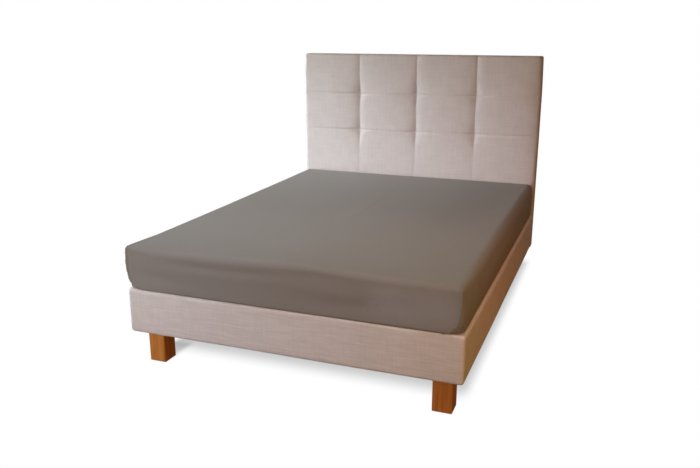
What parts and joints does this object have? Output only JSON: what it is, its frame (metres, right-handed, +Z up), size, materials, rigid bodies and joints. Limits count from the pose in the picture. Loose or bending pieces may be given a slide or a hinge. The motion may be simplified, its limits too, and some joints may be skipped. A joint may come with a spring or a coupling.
{
  "type": "fitted sheet on a mattress and upholstered bed",
  "caption": "Plain knit fitted sheet with sewn corners and an elastic tuck, over a mattress on an upholstered bed base with a tufted headboard and square wooden legs.",
  "frame": {"origin": "on the floor, under the middle of the whole object", "axes": "+Z up, +Y from the foot of the bed to the headboard, +X to the right of someone who stands at the foot and looks at the headboard"},
  "size_m": [1.54, 2.1181, 1.35],
  "materials": {
    "sheet_cloth": "matt cotton knit, grey-brown",
    "mattress_ticking": "plain off-white ticking",
    "upholstery": "fine woven upholstery cloth, light greige",
    "leg_wood": "satin oiled solid wood"
  },
  "bodies": {
    "root": {"fitted_sheet": "sheet_cloth", "mattress": "mattress_ticking", "bed_base": "upholstery", "headboard": "upholstery", "leg_foot_left": "leg_wood", "leg_foot_right": "leg_wood", "leg_head_left": "leg_wood", "leg_head_right": "leg_wood"}
  },
  "joints": []
}
